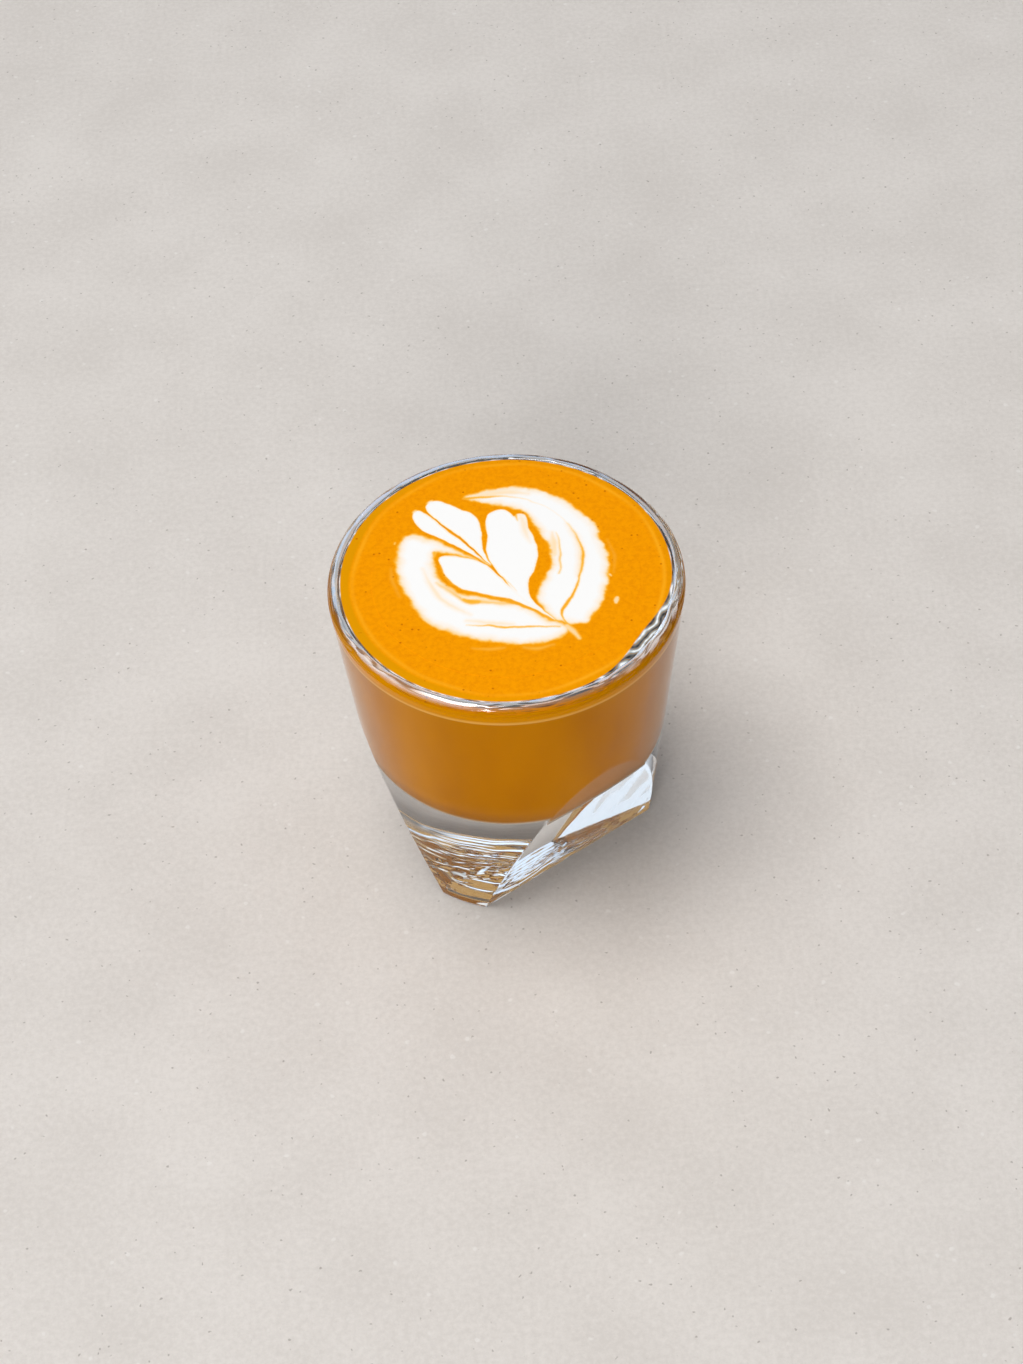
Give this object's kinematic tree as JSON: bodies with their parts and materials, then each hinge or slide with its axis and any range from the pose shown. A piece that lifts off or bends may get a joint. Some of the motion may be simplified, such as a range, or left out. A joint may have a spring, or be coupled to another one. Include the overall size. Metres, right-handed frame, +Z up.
{
  "type": "cortado in its glass",
  "caption": "Brim-full cortado with a poured fern of milk foam on golden crema, in a thick clear tumbler with a flat-faceted heavy foot.",
  "frame": {"origin": "centre of the glass's flat foot, on the glass's axis", "axes": "+Z up along the glass's axis; -Y is the drinker's side, towards which the picture's camera looks from above; +X to that camera's right"},
  "size_m": [0.078, 0.078, 0.0788],
  "materials": {
    "clear_glass": "clear, colourless, fire-polished",
    "coffee_with_milk": "smooth opaque liquid, warm tan brown",
    "crema": "fine wet foam, golden orange",
    "milk_foam": "fine wet milk foam, white"
  },
  "bodies": {
    "root": {"glass": "clear_glass", "coffee": "coffee_with_milk", "crema": "crema", "foam_heart": "milk_foam", "foam_leaf_left": "milk_foam", "foam_finger_upper": "milk_foam", "foam_finger_lower": "milk_foam", "foam_wing_left": "milk_foam", "foam_wing_left_inner": "milk_foam", "foam_wing_right": "milk_foam", "foam_wing_right_inner": "milk_foam"}
  },
  "joints": []
}
